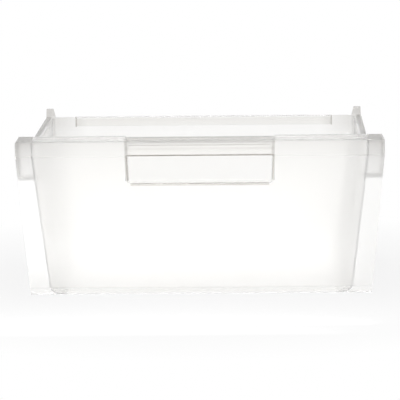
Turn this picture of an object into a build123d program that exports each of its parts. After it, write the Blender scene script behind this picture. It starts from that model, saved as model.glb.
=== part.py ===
from build123d import *

import os
from math import atan2, cos

os.makedirs("parts", exist_ok=True)

# Freezer drawer, one clear plastic moulding, in millimetres.
# X runs across the front, -Y is the front, +Z is up. The origin is at the middle of the base.

# Overall
front_width = 450.0
crest_height = 192.5
depth = 245.0
wall = 2.2

# Front wall, seen from the side
foot_height = 9.2
foot_setback = 5.0
foot_bend_radius = 4.0
brow_drop = 3.3
brow_radius = 3.6
strip_height = 18.7
strip_step = 1.2
strip_bend_radius = 0.8
ledge_depth = 30.0
ledge_slope_run = 22.0
ledge_bend_radius = 12.0
ledge_lip = 9.0
rim_bend_radius = 3.0

# Front wall, seen from the front
wing_taper = 0.096
wing_corner_radius = 9.0
ear_bevel_width = 3.0
ear_bevel_height = 5.0
ear_height = 50.5
ear_corner_radius = 3.0

# Tub
mouth_width = 413.0
tub_width = 392.0
tub_draft = 0.125
flare_length = 34.0
tub_corner_radius = 14.0
floor_radius = 11.0

# Side flanges, back rim and stop lugs
flange_width = 8.0
flange_lip = 10.0
back_rim_length = 332.0
back_rim_depth = 7.0
back_rim_lip = 12.5
lug_height = 11.2
lug_base_width = 13.5
lug_top_width = 9.0
lug_slant = 1.5
lug_thickness = 4.0

# Recessed grip
grip_width = 182.0
grip_drop = 34.6
grip_closing = 0.17
grip_draft = 0.045
grip_corner_radius = 5.0
scoop_floor = 11.0
scoop_radius = 8.0
groove_rise = 10.3
groove_width = 8.0
groove_depth = 1.2
groove_end = 4.0
thumb_rest_depth = 1.6

# Places worked out from the sizes above
front_y = -depth / 2
plate_y = front_y + strip_step
plate_middle_y = plate_y + wall / 2
plate_back_y = plate_y + wall
ledge_back_y = front_y + ledge_depth
slope_end_y = front_y + ledge_slope_run
tub_back_y = depth / 2 - back_rim_depth
brow_height = crest_height - brow_drop
strip_bottom = brow_height - strip_height
shoulder_height = strip_bottom
ear_bottom = crest_height - ear_height
scoop_bottom = strip_bottom - grip_drop
half_front = front_width / 2
half_tub = tub_width / 2
half_mouth = mouth_width / 2
half_flange = half_tub + flange_width
ledge_under = wall / cos(atan2(brow_drop, ledge_slope_run))
open_top = 1.2 * crest_height


def ledge_top(y):
    """Height of the ledge's upper face at a place behind the front face."""
    return brow_height + brow_drop * min((y - front_y) / ledge_slope_run, 1.0)


def half_at(half, height):
    """Half width of a drafted wall at a height, from its half width above the shoulder."""
    return half - tub_draft * (shoulder_height - height)


def wing_half_at(height):
    """Half width of the front wall at a height below its strip."""
    return half_front - wing_taper * (strip_bottom - height)


# Front wall: foot, plate, proud strip, sloping ledge and its turned-down lip, drawn from the side
with BuildPart() as front_wall:
    with BuildSketch(Plane.YZ):
        with BuildLine():
            FilletPolyline(
                (plate_y + foot_setback, 0),
                (plate_y, foot_height),
                (plate_y, strip_bottom - strip_step),
                (front_y, strip_bottom),
                (front_y, brow_height),
                (slope_end_y, crest_height),
                (ledge_back_y, crest_height),
                (ledge_back_y, crest_height - ledge_lip),
                radius=(
                    foot_bend_radius,
                    strip_bend_radius,
                    strip_bend_radius,
                    brow_radius,
                    ledge_bend_radius,
                    rim_bend_radius,
                ),
            )
            offset(amount=wall, side=Side.RIGHT)
        make_face()
    extrude(amount=half_front, both=True)
    # The strip stands proud of the plate by its own thickness, so the back of the wall stays flat
    with BuildSketch(Plane.YZ):
        with BuildLine():
            Polyline(
                (plate_middle_y, strip_bottom - strip_step),
                (plate_back_y, strip_bottom - strip_step),
                (plate_back_y, ledge_top(plate_back_y) - wall / 2),
                (front_y + wall / 2, ledge_top(front_y + wall / 2) - wall / 2),
                (front_y + wall / 2, strip_bottom),
                close=True,
            )
        make_face()
    extrude(amount=half_front, both=True)
    # Its outline from the front: tapering wings, rounded lower corners and bevelled ear tops
    with BuildSketch(Plane.XZ) as front_outline:
        with BuildLine():
            Polyline(
                (0, 0),
                (wing_half_at(0), 0),
                (half_front, strip_bottom),
                (half_front, crest_height - ear_bevel_height),
                (half_front - ear_bevel_width, crest_height),
                (0, crest_height),
                close=True,
            )
        make_face()
        fillet(front_outline.vertices().group_by(Axis.Z)[0].sort_by(Axis.X)[-1], wing_corner_radius)
        mirror(about=Plane.YZ)
    extrude(amount=depth, both=True, mode=Mode.INTERSECT)

# Side outline of the space behind the middle of the front wall's thickness and under its ledge
with BuildSketch(Plane.YZ) as behind_front:
    with BuildLine():
        Polyline(
            (plate_middle_y + foot_setback, 0),
            (plate_middle_y, foot_height),
            (plate_middle_y, ledge_top(plate_middle_y) - wall / 2),
            (slope_end_y, crest_height - wall / 2),
            (slope_end_y, crest_height),
            (depth, crest_height),
            (depth, 0),
            close=True,
        )
    make_face()


def side_planes(half, y, z, closing, draft):
    """Planes of a left and a right wall, half wide at y and z, that close in to the back and to the base."""
    return [Plane(origin=(side * half, y, z), z_dir=(side, closing, -draft)) for side in (-1, 1)]


def tub_solid(inset, top):
    """The drafted tub with its flared mouth, moved inwards by inset and cut off at top."""
    drop = shoulder_height - inset
    front = plate_y
    back = tub_back_y - inset
    back_plane = Plane(origin=(0, back, shoulder_height), z_dir=(0, 1, -tub_draft))
    with BuildPart() as tub:
        with Locations((0, (front + back) / 2, inset + drop / 2)):
            Box(tub_width - 2 * inset, back - front, drop)
        for plane in side_planes(half_tub - inset, 0, shoulder_height, 0, tub_draft) + [back_plane]:
            split(bisect_by=plane, keep=Keep.BOTTOM)
        corners = tub.edges().filter_by(lambda edge: edge.center().Y > 0 and edge.bounding_box().size.Z > drop / 2)
        fillet(corners, tub_corner_radius - inset)
        extrude(tub.faces().sort_by(Axis.Z)[-1], amount=top - shoulder_height)
        floor_edges = tub.faces().sort_by(Axis.Z)[0].edges().sort_by(Axis.Y)[1:]
        fillet(floor_edges, floor_radius - inset)
    # The walls spread to the mouth before they meet the front, and the spread starts inside the tub's wall
    spread = (half_mouth - half_tub + wall / 2) / flare_length
    with BuildPart() as mouth:
        with Locations((0, plate_y + flare_length / 2, inset + drop / 2)):
            Box(mouth_width - 2 * inset, flare_length, drop)
        for plane in side_planes(half_mouth - inset, plate_y, shoulder_height, spread, tub_draft):
            split(bisect_by=plane, keep=Keep.BOTTOM)
        extrude(mouth.faces().sort_by(Axis.Z)[-1], amount=top - shoulder_height)
        corners = mouth.faces().sort_by(Axis.Z)[0].edges().sort_by(Axis.X)
        fillet([corners[0], corners[-1]], floor_radius - inset)
        add(tub.part)
    return mouth.part


full_tub = tub_solid(0.0, crest_height)
tub_inside = tub_solid(wall, open_top)

with BuildPart() as tub_outside:
    add(full_tub)
    extrude(behind_front.sketch, amount=front_width, both=True, mode=Mode.INTERSECT)

# Ears: the box ends of the ledge, closed outside and below and open to the back
with BuildPart() as ears:
    with BuildSketch(Plane.XZ.offset(-plate_middle_y)):
        with BuildLine():
            FilletPolyline(
                (half_at(half_tub, ear_bottom) - wall / 2, ear_bottom),
                (wing_half_at(ear_bottom), ear_bottom),
                (half_front, strip_bottom),
                (half_front, crest_height - ear_bevel_height),
                (half_front - ear_bevel_width, crest_height),
                radius=(ear_corner_radius, 0, 0),
            )
            offset(amount=wall, side=Side.LEFT)
        make_face()
        mirror(about=Plane.YZ)
    extrude(amount=plate_middle_y - ledge_back_y)
    extrude(behind_front.sketch, amount=front_width, both=True, mode=Mode.INTERSECT)

# Side flanges with turned-down lips, which ride on the freezer's ledges
with BuildPart() as flanges:
    with BuildSketch(Plane.XZ.offset(-tub_back_y)):
        with BuildLine():
            FilletPolyline(
                (half_tub - tub_corner_radius, crest_height),
                (half_flange, crest_height),
                (half_flange, crest_height - flange_lip),
                radius=(rim_bend_radius,),
            )
            offset(amount=wall, side=Side.RIGHT)
        make_face()
        mirror(about=Plane.YZ)
    extrude(amount=tub_back_y - ledge_back_y + wall)

# Back rim: a turned-down lip behind the back wall, closed at both ends
with BuildPart() as back_rim:
    with BuildSketch(Plane.YZ):
        with BuildLine():
            FilletPolyline(
                (tub_back_y - wall / 2, crest_height),
                (depth / 2, crest_height),
                (depth / 2, crest_height - back_rim_lip),
                radius=(rim_bend_radius,),
            )
            offset(amount=wall, side=Side.RIGHT)
        make_face()
    extrude(amount=back_rim_length / 2, both=True)
    end_height = back_rim_lip - wall / 2
    end_y = tub_back_y + (back_rim_depth - wall) / 2
    for side in (-1, 1):
        with Locations((side * (back_rim_length - wall) / 2, end_y, crest_height - wall / 2 - end_height / 2)):
            Box(wall, back_rim_depth, end_height)

# Stop lugs that stand on the back ends of the flanges
with BuildPart() as lugs:
    with BuildSketch(Plane.XZ.offset(-tub_back_y)):
        with BuildLine():
            Polyline(
                (half_flange - lug_base_width, crest_height - wall / 2),
                (half_flange - wall / 2, crest_height - wall / 2),
                (half_flange - lug_slant, crest_height + lug_height),
                (half_flange - lug_slant - lug_top_width, crest_height + lug_height),
                close=True,
            )
        make_face()
        mirror(about=Plane.YZ)
    extrude(amount=lug_thickness)

# Side outline of the finger space: a floor, a sloping back, the back of the grip bar and the ledge above
scoop_back_y = ledge_back_y - 2 * wall
roof_drop = ledge_under + thumb_rest_depth
with BuildSketch(Plane.YZ) as scoop_outline:
    with BuildLine():
        FilletPolyline(
            (front_y - wall, scoop_bottom),
            (front_y + scoop_floor, scoop_bottom),
            (scoop_back_y, crest_height - roof_drop),
            radius=(scoop_radius,),
        )
        Polyline(
            (scoop_back_y, crest_height - roof_drop),
            (slope_end_y, crest_height - roof_drop),
            (plate_back_y, ledge_top(plate_back_y) - roof_drop),
            (plate_back_y, strip_bottom),
            (front_y - wall, strip_bottom),
            (front_y - wall, scoop_bottom),
        )
    make_face()


def scoop_sides(outset):
    """Drafted block between the side walls of the grip, grown outwards by outset."""
    half = grip_width / 2 + outset
    bottom = scoop_bottom - outset
    with BuildPart() as block:
        with Locations((0, (front_y + ledge_back_y) / 2, (bottom + open_top) / 2)):
            Box(front_width, ledge_depth + 2 * wall, open_top - bottom)
        for plane in side_planes(half, plate_y, brow_height, grip_closing, grip_draft):
            split(bisect_by=plane, keep=Keep.BOTTOM)
        corners = block.faces().sort_by(Axis.Z)[0].edges().sort_by(Axis.X)
        fillet([corners[0], corners[-1]], grip_corner_radius + outset)
    return block.part


outer_sides = scoop_sides(wall)
inner_sides = scoop_sides(0.0)

# Outside of the scoop's walls, kept behind the front wall
with BuildPart() as scoop_outside:
    with BuildSketch(Plane.YZ):
        add(scoop_outline.sketch_local)
        offset(amount=wall, kind=Kind.INTERSECTION)
    extrude(amount=front_width, both=True)
    add(outer_sides, mode=Mode.INTERSECT)
    extrude(behind_front.sketch, amount=front_width, both=True, mode=Mode.INTERSECT)

# Finger space, with the lower edge of the grip bar over it rolled to a full round
bar_round = (plate_back_y - front_y) / 2
with BuildPart() as scoop_inside:
    extrude(scoop_outline.sketch, amount=front_width, both=True)
    with BuildSketch(Plane.YZ):
        with BuildLine():
            ThreePointArc(
                (plate_back_y, strip_bottom + bar_round),
                (front_y + bar_round, strip_bottom),
                (front_y, strip_bottom + bar_round),
            )
            Polyline(
                (front_y, strip_bottom + bar_round),
                (front_y - wall, strip_bottom + bar_round),
                (front_y - wall, strip_bottom - wall),
                (plate_back_y + wall, strip_bottom - wall),
                (plate_back_y + wall, strip_bottom + bar_round),
                (plate_back_y, strip_bottom + bar_round),
            )
        make_face()
    extrude(amount=front_width, both=True)
    add(inner_sides, mode=Mode.INTERSECT)

# The whole moulding
with BuildPart() as drawer:
    add(tub_outside.part)
    add(ears.part)
    add(flanges.part)
    add(back_rim.part)
    add(tub_inside, mode=Mode.SUBTRACT)
    add(front_wall.part)
    add(scoop_outside.part)
    add(scoop_inside.part, mode=Mode.SUBTRACT)
    add(lugs.part)
    # The ledge is let down over the grip, as a rest for the thumb
    with BuildSketch(Plane.YZ):
        with BuildLine():
            Polyline(
                (front_y + brow_radius, ledge_top(front_y + brow_radius)),
                (slope_end_y, crest_height - thumb_rest_depth),
                (ledge_back_y + wall, crest_height - thumb_rest_depth),
                (ledge_back_y + wall, open_top),
                (front_y + brow_radius, open_top),
                close=True,
            )
        make_face()
    extrude(amount=grip_width / 2, both=True, mode=Mode.SUBTRACT)
    # A shallow groove along the grip bar, between the rolled edge and the brow
    groove_radius = groove_width ** 2 / (8 * groove_depth) + groove_depth / 2
    with BuildSketch(Plane.YZ):
        with Locations((front_y + groove_depth - groove_radius, strip_bottom + groove_rise)):
            Circle(groove_radius)
    extrude(amount=grip_width / 2 - groove_end, both=True, mode=Mode.SUBTRACT)

drawer.part.label = "drawer"
export_step(drawer.part, "parts/drawer.step")
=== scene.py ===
from functools import partial
from math import radians

import bpy
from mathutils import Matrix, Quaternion, Vector


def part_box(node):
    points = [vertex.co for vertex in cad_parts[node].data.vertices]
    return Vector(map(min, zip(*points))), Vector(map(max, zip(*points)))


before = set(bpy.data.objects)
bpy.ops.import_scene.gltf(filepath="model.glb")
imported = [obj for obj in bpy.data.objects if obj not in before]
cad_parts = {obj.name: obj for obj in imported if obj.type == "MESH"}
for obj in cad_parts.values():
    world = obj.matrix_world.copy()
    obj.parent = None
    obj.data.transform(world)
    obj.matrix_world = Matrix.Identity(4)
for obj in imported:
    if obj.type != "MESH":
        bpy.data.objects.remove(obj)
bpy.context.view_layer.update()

# Drawer
# The real piece is one injection moulding in clear, slightly milky polystyrene: tub, front, grip and rims.
# The mould polishes its walls, leaves a fine grain on the front, and a coarser one on the ears and flanges.
# Depths near the front are measured back from its face, and heights from the base, all in metres.
drawer = bpy.data.objects["drawer"]
drawer_low, drawer_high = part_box("drawer")
front_face = drawer_low.y
lug_rise = 0.0112
rim_height = drawer_high.z - lug_rise

clear_plastic = bpy.data.materials.new("clear_plastic")
clear_plastic.use_nodes = True
plastic_tree = clear_plastic.node_tree
plastic_nodes = plastic_tree.nodes
plastic_links = plastic_tree.links
plastic = plastic_nodes["Principled BSDF"]
plastic.inputs["IOR"].default_value = 1.55
plastic.inputs["Transmission Weight"].default_value = 0.97
plastic.inputs["Metallic"].default_value = 0.0

# Light that runs a long way inside the plastic, along a wall or into an edge, comes out grey
absorption = plastic_nodes.new("ShaderNodeVolumeAbsorption")
absorption.inputs["Color"].default_value = (0.50, 0.49, 0.47, 1.0)
absorption.inputs["Density"].default_value = 3.0
plastic_links.new(absorption.outputs["Volume"], plastic_nodes["Material Output"].inputs["Volume"])


def math_node(tree, operation, first, second):
    """A Math node, fed by numbers or by other nodes' outputs."""
    node = tree.nodes.new("ShaderNodeMath")
    node.operation = operation
    for socket, value in zip(node.inputs, (first, second)):
        if isinstance(value, float):
            socket.default_value = value
        else:
            tree.links.new(value, socket)
    return node.outputs["Value"]


def range_node(tree, value, from_low, from_high, to_low, to_high):
    """A value moved from one range to another, and held at its ends."""
    node = tree.nodes.new("ShaderNodeMapRange")
    node.inputs["From Min"].default_value = from_low
    node.inputs["From Max"].default_value = from_high
    node.inputs["To Min"].default_value = to_low
    node.inputs["To Max"].default_value = to_high
    tree.links.new(value, node.inputs["Value"])
    return node.outputs["Result"]


plastic_math = partial(math_node, plastic_tree)
plastic_range = partial(range_node, plastic_tree)
far_away = 1.0
edge_blend = 0.0006


def plastic_band(value, low, high):
    """A mask that is 1 between two limits of a value and 0 outside them, with a short blend."""
    rise = plastic_range(value, low - edge_blend, low, 0.0, 1.0)
    fall = plastic_range(value, high, high + edge_blend, 1.0, 0.0)
    return plastic_math("MULTIPLY", rise, fall)


def plastic_all(first, *others):
    """A mask that is 1 only where all the given masks are."""
    together = first
    for mask in others:
        together = plastic_math("MULTIPLY", together, mask)
    return together


def unshaded_in(mask, level):
    """How much of the plastic's own colour painted shade leaves: the given level inside a mask, and 1 outside
    it.
    """
    return plastic_range(mask, 0.0, 1.0, 1.0, level)


# Where a point lies on the drawer, and how far from its middle plane
surface_place = plastic_nodes.new("ShaderNodeTexCoord")
surface_axes = plastic_nodes.new("ShaderNodeSeparateXYZ")
plastic_links.new(surface_place.outputs["Object"], surface_axes.inputs["Vector"])
surface_depth = surface_axes.outputs["Y"]
surface_height = surface_axes.outputs["Z"]
side_distance = plastic_math("ABSOLUTE", surface_axes.outputs["X"], 0.0)

# The grained outer face of the front: 1 on it, 0 behind it
grain_depth = front_face + 0.0025
front_grain = plastic_band(surface_depth, -far_away, grain_depth - edge_blend)

# The box ears: outside the line where the tub's drafted wall meets the front, and above their floor.
# Their coarser grain dulls them, and painted shade greys them, most of all at the top
ear_line_half = 0.2045
tub_draft = 0.125
tub_shoulder = 0.1705
ear_floor = 0.1415
ear_back = front_face + 0.0310
ear_shade_low = 0.06
ear_shade_high = 0.46
below_shoulder = plastic_math("MINIMUM", plastic_math("SUBTRACT", surface_height, tub_shoulder), 0.0)
ear_side = plastic_math("SUBTRACT", side_distance, plastic_math("MULTIPLY", below_shoulder, tub_draft))
ear_grain_and_shade = plastic_all(
    plastic_band(ear_side, ear_line_half, far_away),
    plastic_band(surface_height, ear_floor, far_away),
    plastic_band(surface_depth, -far_away, ear_back),
)
ear_shade = plastic_range(surface_height, ear_floor, rim_height, ear_shade_low, ear_shade_high)
ear_unshaded = plastic_math("SUBTRACT", 1.0, plastic_math("MULTIPLY", ear_grain_and_shade, ear_shade))

# The side flanges behind the ears, grained where they ride on the freezer's ledges, and greyed with painted
# shade
flange_half = 0.1968
flange_bottom = 0.1820
flange_top = 0.1930
flange_shade_level = 0.52
flange_grain_and_shade = plastic_all(
    plastic_band(side_distance, flange_half, far_away),
    plastic_band(surface_height, flange_bottom, flange_top),
    plastic_band(surface_depth, ear_back, far_away),
)
flange_unshaded = unshaded_in(flange_grain_and_shade, flange_shade_level)

# The stop lugs that stand above the rims at the back, greyed with painted shade
lug_foot = rim_height + 0.0015
lug_shade_level = 0.82
lug_unshaded = plastic_range(surface_height, lug_foot, lug_foot + edge_blend, 1.0, lug_shade_level)

# The ledge along the top of the front, and the thumb rest let into it over the grip, greyed with painted
# shade as tops that get less light
ledge_bottom = 0.1860
ledge_front = front_face + 0.0045
ledge_back = front_face + 0.0305
grip_half = 0.0910
ledge_shade_level = 0.86
rest_shade_level = 0.82
on_ledge = plastic_all(
    plastic_band(surface_height, ledge_bottom, far_away),
    plastic_band(surface_depth, ledge_front, ledge_back),
)
over_grip = plastic_band(side_distance, -far_away, grip_half)
ledge_unshaded = unshaded_in(on_ledge, ledge_shade_level)
rest_unshaded = unshaded_in(plastic_all(on_ledge, over_grip), rest_shade_level)

# Painted shade: the walls grow a little greyer up to the rims, where less light reaches, but not at the grip
rim_foot = 0.160
rim_shade_most = 0.10
at_grip = plastic_all(over_grip, plastic_band(surface_depth, -far_away, ledge_back))
rim_shade = plastic_range(surface_height, rim_foot, rim_height, 0.0, rim_shade_most)
rim_unshaded = plastic_math("SUBTRACT", 1.0, plastic_all(rim_shade, unshaded_in(at_grip, 0.0)))

# Painted shade on the tub's back corners, greyer towards the flanges
corner_start = 0.150
corner_end = 0.205
corner_front = 0.085
corner_back = 0.100
corner_foot = 0.140
corner_shade_most = 0.42
corner_side = plastic_range(side_distance, corner_start, corner_end, 0.0, corner_shade_most)
corner_depth = plastic_range(surface_depth, corner_front, corner_back, 0.0, 1.0)
corner_rise = plastic_range(surface_height, corner_foot, flange_bottom, 0.0, 1.0)
corner_unshaded = plastic_math("SUBTRACT", 1.0, plastic_all(corner_side, corner_depth, corner_rise))

# Painted shade in the groove along the grip bar, greyest in its bottom
groove_height = 0.1800
groove_inner = 0.0010
groove_outer = 0.0038
groove_shade_level = 0.66
groove_away = plastic_math("ABSOLUTE", plastic_math("SUBTRACT", surface_height, groove_height), 0.0)
groove_shade = plastic_all(
    plastic_range(groove_away, groove_inner, groove_outer, 1.0, 0.0),
    plastic_band(surface_depth, -far_away, grain_depth),
    over_grip,
)
groove_unshaded = unshaded_in(groove_shade, groove_shade_level)

# Edges that bend the light away, drawn as painted dark lines. First, the grip bar's rolled lower edge
bar_bottom = 0.1705
bar_round = 0.0017
bar_edge_rise = 0.8 * bar_round
bar_back = front_face + 0.0037
bar_edge = plastic_all(
    plastic_band(surface_height, bar_bottom - edge_blend, bar_bottom + bar_edge_rise),
    plastic_band(surface_depth, -far_away, bar_back),
    over_grip,
)

# Painted dark lines on the front edges of the grip pocket's leaning side walls, paler beside the bar, and of
# its floor
grip_draft = 0.045
brow_height = 0.1892
pocket_wall = 0.0022
pocket_edge_outside = 0.4 * pocket_wall
pocket_edge_below = 0.6 * pocket_wall
pocket_floor = 0.1359
pocket_corner = 0.0045
pocket_mouth = front_face + 0.0105
beside_bar_share = 0.5
pocket_lean = plastic_math("MULTIPLY", plastic_math("SUBTRACT", surface_height, brow_height), grip_draft)
pocket_side = plastic_math("SUBTRACT", side_distance, pocket_lean)
pocket_front = plastic_band(surface_depth, -far_away, pocket_mouth)
pocket_side_edge = plastic_all(
    plastic_band(pocket_side, grip_half - pocket_wall, grip_half + pocket_edge_outside),
    plastic_band(surface_height, pocket_floor + pocket_corner, far_away),
    plastic_range(surface_height, bar_bottom - bar_round, bar_bottom + bar_round, 1.0, beside_bar_share),
    pocket_front,
)
pocket_floor_edge = plastic_all(
    plastic_band(surface_height, pocket_floor - pocket_edge_below, pocket_floor),
    plastic_band(pocket_side, -far_away, grip_half - pocket_corner),
    pocket_front,
)

# Painted dark lines on the thumb rest's back edge, and on the ends of the back rim
rest_edge_depth = 0.0080
rest_edge = plastic_all(
    plastic_band(surface_depth, ledge_back - rest_edge_depth, ledge_back + edge_blend),
    plastic_band(surface_height, ledge_bottom, far_away),
    over_grip,
)
rim_end_half = 0.1649
rim_end_depth = 0.1165
rim_end_edge = plastic_all(
    plastic_band(side_distance, rim_end_half - edge_blend, rim_end_half + edge_blend),
    plastic_band(surface_depth, rim_end_depth, far_away),
)

edge_shade_level = 0.12
painted_dark_edge = bar_edge
for edge in (pocket_side_edge, pocket_floor_edge, rest_edge, rim_end_edge):
    painted_dark_edge = plastic_math("MAXIMUM", painted_dark_edge, edge)
edge_unshaded = unshaded_in(painted_dark_edge, edge_shade_level)

# Milky haze in slow clouds, drawn out along the way the melt flowed from the middle of the base
flow_stretch = plastic_nodes.new("ShaderNodeMapping")
flow_stretch.inputs["Scale"].default_value = (6.0, 9.0, 3.5)
plastic_links.new(surface_place.outputs["Object"], flow_stretch.inputs["Vector"])
flow_haze = plastic_nodes.new("ShaderNodeTexNoise")
flow_haze.inputs["Scale"].default_value = 1.0
flow_haze.inputs["Detail"].default_value = 4.0
flow_haze.inputs["Roughness"].default_value = 0.55
plastic_links.new(flow_stretch.outputs["Vector"], flow_haze.inputs["Vector"])

milky_tint = plastic_nodes.new("ShaderNodeValToRGB")
milky_tint.color_ramp.elements[0].position = 0.3
milky_tint.color_ramp.elements[0].color = (0.984, 0.976, 0.958, 1.0)
milky_tint.color_ramp.elements[1].position = 0.7
milky_tint.color_ramp.elements[1].color = (0.998, 0.993, 0.980, 1.0)
plastic_links.new(flow_haze.outputs["Fac"], milky_tint.inputs["Fac"])

# Where painted shade falls, the plastic turns to a warm smoke grey
unshaded = plastic_all(
    rim_unshaded,
    ear_unshaded,
    flange_unshaded,
    lug_unshaded,
    ledge_unshaded,
    rest_unshaded,
    corner_unshaded,
    groove_unshaded,
    edge_unshaded,
)
painted_shade_tint = plastic_nodes.new("ShaderNodeMix")
painted_shade_tint.data_type = "RGBA"
painted_shade_tint.inputs["A"].default_value = (0.250, 0.224, 0.192, 1.0)
plastic_links.new(unshaded, painted_shade_tint.inputs["Factor"])
plastic_links.new(milky_tint.outputs["Color"], painted_shade_tint.inputs["B"])
plastic_links.new(painted_shade_tint.outputs["Result"], plastic.inputs["Base Color"])

# Thin walls let a share of the light straight through, the grip bar and its pocket more; the painted dark
# edges none
wall_cover = 0.75
bar_cover = 0.60
pocket_cover = 0.45
on_bar = plastic_all(
    plastic_band(surface_height, bar_bottom + bar_round, far_away),
    pocket_front,
    over_grip,
)
in_pocket = plastic_all(
    plastic_band(surface_height, pocket_floor + pocket_corner, bar_bottom),
    at_grip,
)
thin_cover = plastic_math(
    "MINIMUM",
    plastic_range(on_bar, 0.0, 1.0, wall_cover, bar_cover),
    plastic_range(in_pocket, 0.0, 1.0, 1.0, pocket_cover),
)
plastic_links.new(plastic_math("MAXIMUM", thin_cover, painted_dark_edge), plastic.inputs["Alpha"])

# Polish: smooth walls with a faint haze, duller on the grained front, ears and flanges
polish_best = 0.06
polish_worst = 0.12
fine_dulling = 0.26
coarse_dulling = 0.30
wall_polish = plastic_range(flow_haze.outputs["Fac"], 0.0, 1.0, polish_best, polish_worst)
coarse_grain = plastic_math("MAXIMUM", ear_grain_and_shade, flange_grain_and_shade)
grain_dulling = plastic_math(
    "MAXIMUM",
    plastic_math("MULTIPLY", front_grain, fine_dulling),
    plastic_math("MULTIPLY", coarse_grain, coarse_dulling),
)
plastic_links.new(plastic_math("ADD", wall_polish, grain_dulling), plastic.inputs["Roughness"])

# The mould's own skin: a very low ripple
skin_ripple = plastic_nodes.new("ShaderNodeTexNoise")
skin_ripple.inputs["Scale"].default_value = 45.0
skin_ripple.inputs["Detail"].default_value = 3.0
plastic_links.new(surface_place.outputs["Object"], skin_ripple.inputs["Vector"])
skin_bump = plastic_nodes.new("ShaderNodeBump")
skin_bump.inputs["Strength"].default_value = 0.12
skin_bump.inputs["Distance"].default_value = 0.0006
plastic_links.new(skin_ripple.outputs["Fac"], skin_bump.inputs["Height"])
plastic_links.new(skin_bump.outputs["Normal"], plastic.inputs["Normal"])

drawer.data.materials.clear()
drawer.data.materials.append(clear_plastic)

# Floor
# A plain white sheet, lit from below like a light table: white to the camera and through the plastic.
# A share of it is left to the lamps, so the drawer keeps a faint shadow.
floor_half = 6.0
floor_mesh = bpy.data.meshes.new("floor")
floor_mesh.from_pydata(
    [
        (-floor_half, -floor_half, 0.0),
        (floor_half, -floor_half, 0.0),
        (floor_half, floor_half, 0.0),
        (-floor_half, floor_half, 0.0),
    ],
    [],
    [(0, 1, 2, 3)],
)
floor = bpy.data.objects.new("floor", floor_mesh)
bpy.context.scene.collection.objects.link(floor)


def seen_directly(tree):
    """A value that is 1 for camera, mirror and see-through rays, and 0 for the light that falls on things."""
    ray_kind = tree.nodes.new("ShaderNodeLightPath")
    mirror_ray = ray_kind.outputs["Is Glossy Ray"]
    glass_ray = ray_kind.outputs["Is Transmission Ray"]
    mirror_or_glass = math_node(tree, "MAXIMUM", mirror_ray, glass_ray)
    any_direct = math_node(tree, "MAXIMUM", ray_kind.outputs["Is Camera Ray"], mirror_or_glass)
    before_any_surface = math_node(tree, "LESS_THAN", ray_kind.outputs["Diffuse Depth"], 0.5)
    return math_node(tree, "MULTIPLY", any_direct, before_any_surface)


white_sheet = bpy.data.materials.new("white_sheet")
white_sheet.use_nodes = True
sheet_tree = white_sheet.node_tree
sheet = sheet_tree.nodes["Principled BSDF"]
sheet.inputs["Base Color"].default_value = (0.86, 0.86, 0.86, 1.0)
sheet.inputs["Roughness"].default_value = 0.9
sheet_glow = sheet_tree.nodes.new("ShaderNodeEmission")
sheet_glow.inputs["Color"].default_value = (1.0, 1.0, 1.0, 1.0)
sheet_glow.inputs["Strength"].default_value = 1.0

# The glow's share: whole far away, a little less near the drawer and for light that falls on things
shadow_share = 0.12
shadow_near = 0.25
shadow_far = 0.55
table_light = 0.98
sheet_place = sheet_tree.nodes.new("ShaderNodeTexCoord")
sheet_distance = sheet_tree.nodes.new("ShaderNodeVectorMath")
sheet_distance.operation = "LENGTH"
sheet_tree.links.new(sheet_place.outputs["Object"], sheet_distance.inputs[0])
near_share = range_node(
    sheet_tree, sheet_distance.outputs["Value"], shadow_near, shadow_far, 1.0 - shadow_share, 1.0
)
ray_share = range_node(sheet_tree, seen_directly(sheet_tree), 0.0, 1.0, table_light, 1.0)
sheet_mix = sheet_tree.nodes.new("ShaderNodeMixShader")
sheet_tree.links.new(math_node(sheet_tree, "MULTIPLY", near_share, ray_share), sheet_mix.inputs["Fac"])
sheet_tree.links.new(sheet.outputs["BSDF"], sheet_mix.inputs[1])
sheet_tree.links.new(sheet_glow.outputs["Emission"], sheet_mix.inputs[2])
sheet_tree.links.new(sheet_mix.outputs["Shader"], sheet_tree.nodes["Material Output"].inputs["Surface"])
floor_mesh.materials.append(white_sheet)

# Surround
# White for the camera all round. In the plastic, white boards show in front and behind, and a dim room
# elsewhere. A weak sky is all that the surround adds to the light that falls on things.
surround = bpy.data.worlds.new("surround")
bpy.context.scene.world = surround
surround.use_nodes = True
surround_tree = surround.node_tree
sky = surround_tree.nodes["Background"]
sky.inputs["Color"].default_value = (1.0, 1.0, 1.0, 1.0)
sky.inputs["Strength"].default_value = 0.05
backdrop = surround_tree.nodes.new("ShaderNodeBackground")
backdrop.inputs["Color"].default_value = (1.0, 1.0, 1.0, 1.0)
room_level = 0.22
board_level = 1.0
board_start = 0.40
board_full = 0.62
look_place = surround_tree.nodes.new("ShaderNodeTexCoord")
look_axes = surround_tree.nodes.new("ShaderNodeSeparateXYZ")
surround_tree.links.new(look_place.outputs["Generated"], look_axes.inputs["Vector"])
look_along = math_node(surround_tree, "ABSOLUTE", look_axes.outputs["Y"], 0.0)
look_level = range_node(surround_tree, look_along, board_start, board_full, room_level, board_level)
look_kind = surround_tree.nodes.new("ShaderNodeLightPath")
backdrop_level = math_node(surround_tree, "MAXIMUM", look_level, look_kind.outputs["Is Camera Ray"])
surround_tree.links.new(backdrop_level, backdrop.inputs["Strength"])
surround_mix = surround_tree.nodes.new("ShaderNodeMixShader")
surround_tree.links.new(seen_directly(surround_tree), surround_mix.inputs["Fac"])
surround_tree.links.new(sky.outputs["Background"], surround_mix.inputs[1])
surround_tree.links.new(backdrop.outputs["Background"], surround_mix.inputs[2])
surround_tree.links.new(surround_mix.outputs["Shader"], surround_tree.nodes["World Output"].inputs["Surface"])


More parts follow.
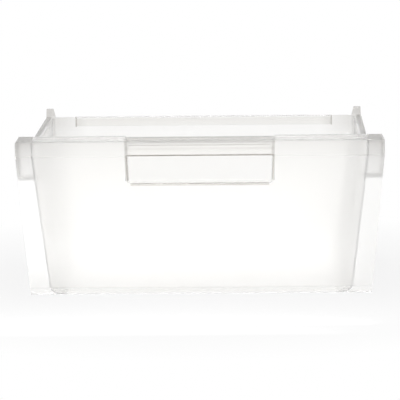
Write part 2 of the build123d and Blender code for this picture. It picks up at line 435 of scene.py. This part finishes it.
# Lamps
# Two low soft lamps close to the front, a large one further off to the left, one high over the front and one
# over the tub. The two low ones stand so close that they are kept from showing through the plastic.
def soft_lamp(name, place, aim, width, height, watts, shows_through=True):
    """A rectangular soft lamp at a place, turned to a point and unseen by the camera."""
    lamp_data = bpy.data.lights.new(name, "AREA")
    lamp_data.shape = "RECTANGLE"
    lamp_data.size = width
    lamp_data.size_y = height
    lamp_data.energy = watts
    lamp = bpy.data.objects.new(name, lamp_data)
    lamp.location = place
    lamp.rotation_euler = (Vector(aim) - Vector(place)).to_track_quat("-Z", "Y").to_euler()
    lamp.visible_camera = False
    lamp.visible_transmission = shows_through
    bpy.context.scene.collection.objects.link(lamp)


soft_lamp(
    "front_lamp", place=(-0.06, -0.40, 0.06), aim=(-0.06, -0.12, 0.06),
    width=0.45, height=0.10, watts=0.42, shows_through=False,
)
soft_lamp(
    "floor_lamp", place=(-0.05, -0.34, 0.02), aim=(-0.05, -0.12, 0.06),
    width=0.50, height=0.04, watts=0.38, shows_through=False,
)
soft_lamp("left_lamp", place=(-0.9, -1.6, 0.7), aim=(0.0, 0.0, 0.1), width=0.8, height=0.8, watts=5.7)
soft_lamp("brow_lamp", place=(0.0, -0.6, 0.9), aim=(0.0, -0.1, 0.1), width=0.6, height=0.4, watts=1.3)
soft_lamp("tub_lamp", place=(0.0, 0.0, 0.6), aim=(0.0, 0.0, 0.1), width=0.5, height=0.3, watts=1.45)

# Camera
# Far back with a long lens, a little above the drawer.
# It is turned slightly, so that level edges rise to the right.
camera_place = Vector((0.0862, -3.8336, 0.6388))
camera_aim = Vector((-0.0030, 0.0, 0.0992))
camera_roll = radians(-0.636)
camera_data = bpy.data.cameras.new("camera")
camera_data.sensor_width = 36.0
camera_data.lens = 276.9
camera_data.clip_end = 50.0
camera = bpy.data.objects.new("camera", camera_data)
camera.location = camera_place
camera.rotation_mode = "QUATERNION"
camera_turn = (camera_aim - camera_place).to_track_quat("-Z", "Y")
camera.rotation_quaternion = camera_turn @ Quaternion((0.0, 0.0, 1.0), camera_roll)
bpy.context.scene.collection.objects.link(camera)
bpy.context.scene.camera = camera

bpy.context.scene.view_settings.view_transform = "Standard"
